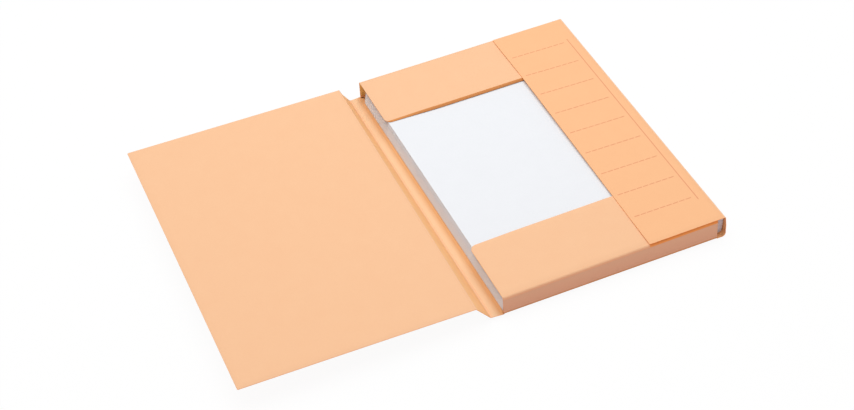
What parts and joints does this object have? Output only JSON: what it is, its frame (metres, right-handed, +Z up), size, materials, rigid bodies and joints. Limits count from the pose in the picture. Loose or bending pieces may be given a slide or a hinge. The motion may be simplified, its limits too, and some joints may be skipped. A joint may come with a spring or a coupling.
{
  "type": "three-flap folder",
  "caption": "Creased card folder lying open: cover and spine to the left, head, tail and fore-edge flaps folded over a stack of loose A4 sheets.",
  "frame": {"origin": "centre of the back panel's underside, on the surface that the folder lies on", "axes": "+X from the spine to the fore edge, +Y from tail to head, +Z up; the open cover reaches to -X"},
  "size_m": [0.443, 0.31, 0.0216],
  "materials": {
    "card": "matt uncoated peach-orange folder card",
    "paper": "matt white copy paper"
  },
  "bodies": {
    "back": {"back_panel": "card", "paper_bundle_1": "paper", "paper_bundle_2": "paper", "paper_bundle_3": "paper", "paper_bundle_4": "paper", "paper_bundle_5": "paper"},
    "spine_base": {"spine_base_strip": "card"},
    "spine_riser": {"spine_riser_strip": "card"},
    "cover": {"front_cover": "card"},
    "head_side": {"head_wall": "card"},
    "head_top": {"head_flap": "card"},
    "tail_side": {"tail_wall": "card"},
    "tail_top": {"tail_flap": "card"},
    "fore_edge_side": {"fore_edge_wall": "card"},
    "fore_edge_top": {"fore_edge_flap": "card"}
  },
  "joints": [
    {"name": "spine_base_crease", "type": "hinge", "parent": "back", "child": "spine_base", "pos_m": [-0.1065, 0, 0], "axis": [0, 1, 0], "range_deg": [0, 90]},
    {"name": "spine_riser_crease", "type": "hinge", "parent": "spine_base", "child": "spine_riser", "pos_m": [-0.1172, 0, 0], "axis": [0, 1, 0], "range_deg": [-56, 0]},
    {"name": "cover_crease", "type": "hinge", "parent": "spine_riser", "child": "cover", "pos_m": [-0.12822, 0, 0.01669], "axis": [0, 1, 0], "range_deg": [0, 147.7]},
    {"name": "fore_edge_wall_crease", "type": "hinge", "parent": "back", "child": "fore_edge_side", "pos_m": [0.1065, 0, 0], "axis": [0, 1, 0], "range_deg": [0, 90]},
    {"name": "fore_edge_flap_crease", "type": "hinge", "parent": "fore_edge_side", "child": "fore_edge_top", "pos_m": [0.1065, 0, 0.0193], "axis": [0, 1, 0], "range_deg": [0, 90]},
    {"name": "head_wall_crease", "type": "hinge", "parent": "back", "child": "head_side", "pos_m": [0, 0.155, 0], "axis": [-1, 0, 0], "range_deg": [0, 90]},
    {"name": "head_flap_crease", "type": "hinge", "parent": "head_side", "child": "head_top", "pos_m": [0, 0.155, 0.0186], "axis": [-1, 0, 0], "range_deg": [0, 90]},
    {"name": "tail_wall_crease", "type": "hinge", "parent": "back", "child": "tail_side", "pos_m": [0, -0.155, 0], "axis": [1, 0, 0], "range_deg": [0, 90]},
    {"name": "tail_flap_crease", "type": "hinge", "parent": "tail_side", "child": "tail_top", "pos_m": [0, -0.155, 0.0186], "axis": [1, 0, 0], "range_deg": [0, 90]}
  ],
  "couplings": [
    {"joint": "spine_base_crease", "follows": "cover_crease", "ratio": 0.6093},
    {"joint": "spine_riser_crease", "follows": "cover_crease", "ratio": -0.3791},
    {"joint": "head_flap_crease", "follows": "fore_edge_flap_crease", "ratio": 1},
    {"joint": "tail_flap_crease", "follows": "fore_edge_flap_crease", "ratio": 1},
    {"joint": "head_wall_crease", "follows": "fore_edge_wall_crease", "ratio": 1},
    {"joint": "tail_wall_crease", "follows": "fore_edge_wall_crease", "ratio": 1}
  ]
}
